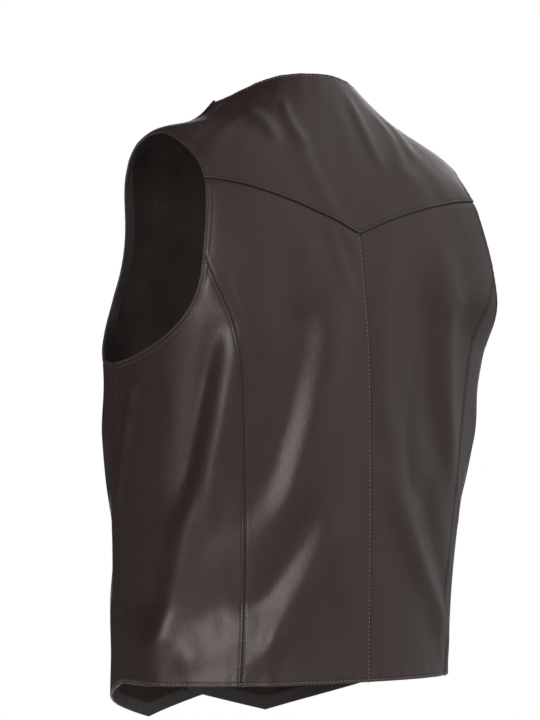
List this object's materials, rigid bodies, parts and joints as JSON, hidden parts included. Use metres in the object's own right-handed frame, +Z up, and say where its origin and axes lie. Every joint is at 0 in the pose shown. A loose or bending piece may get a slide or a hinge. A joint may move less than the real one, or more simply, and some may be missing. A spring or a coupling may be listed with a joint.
{
  "type": "leather vest",
  "caption": "Worn western-style leather vest, hollow, with a pointed back yoke, seamed back and side panels, V neck, and a lapped front closed by snaps.",
  "frame": {"origin": "between the two shoulder seams at the neck, where the wearer's shoulders hold the vest up", "axes": "+Z up, -Y the way the wearer faces, +X the wearer's left"},
  "size_m": [0.3887, 0.3012, 0.6409],
  "materials": {
    "leather": "smooth satin nappa, espresso brown, nearly black",
    "snap": "antique brass cap, satin"
  },
  "bodies": {
    "root": {"yoke": "leather", "back_left": "leather", "back_right": "leather", "side_back_left": "leather", "side_back_right": "leather", "front_left": "leather", "front_right": "leather", "snap_1": "snap", "snap_2": "snap", "snap_3": "snap", "snap_4": "snap"}
  },
  "joints": []
}
